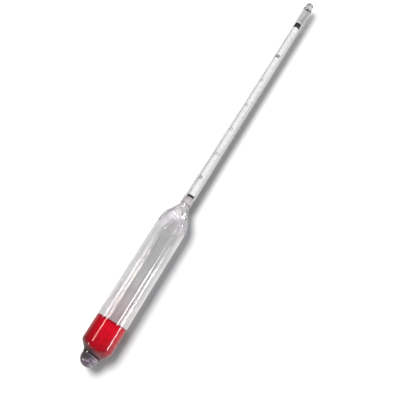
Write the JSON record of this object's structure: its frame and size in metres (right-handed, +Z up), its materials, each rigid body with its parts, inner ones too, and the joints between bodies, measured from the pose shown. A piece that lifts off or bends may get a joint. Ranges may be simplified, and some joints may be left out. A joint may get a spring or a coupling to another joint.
{
  "type": "brewing hydrometer",
  "caption": "Sealed glass float with a fat weighted bulb, a solid nose bead and a thin stem that holds a rolled paper density scale, lying on its side.",
  "frame": {"origin": "on the surface it lies on, below the middle of its length (bottom centre of the bounding box)", "axes": "+Y runs along the axis from the nose to the stem tip, +Z is up away from the surface it lies on, and +X is to its right"},
  "size_m": [0.02, 0.3, 0.02],
  "materials": {
    "glass": "polished",
    "scale_paper": "matte",
    "scale_ink": "matte",
    "scale_glue": "gloss",
    "steel_shot": "satin",
    "red_resin": "gloss"
  },
  "bodies": {
    "root": {"nose_bead": "glass", "bulb_tube": "glass", "neck_weld": "glass", "stem_tube": "glass", "stem_tip_seal": "glass", "scale_paper": "scale_paper", "scale_glue": "scale_glue", "ballast_shot": "steel_shot", "ballast_resin": "red_resin"}
  },
  "joints": []
}
